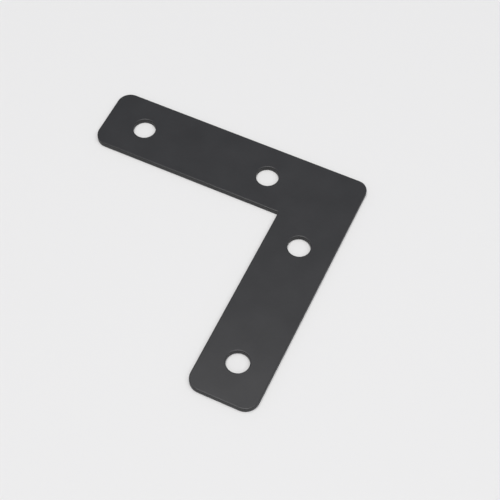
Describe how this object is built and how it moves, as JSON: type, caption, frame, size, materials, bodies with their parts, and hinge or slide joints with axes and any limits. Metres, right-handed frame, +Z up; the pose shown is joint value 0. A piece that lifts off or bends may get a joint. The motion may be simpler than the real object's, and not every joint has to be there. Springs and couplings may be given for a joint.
{
  "type": "extrusion joining plate",
  "caption": "Flat L-shaped joining plate for framing extrusion, black coated sheet metal with rounded corners and plain bolt holes along both arms.",
  "frame": {"origin": "where the centre lines of the two arms cross, on the underside", "axes": "+X along one arm and +Y along the other, both from the elbow towards the free end; +Z up, square to the flat faces, out of the upper one"},
  "size_m": [0.08, 0.08, 0.0016],
  "materials": {
    "black_coat": "satin"
  },
  "bodies": {
    "root": {"joining_plate": "black_coat"}
  },
  "joints": []
}
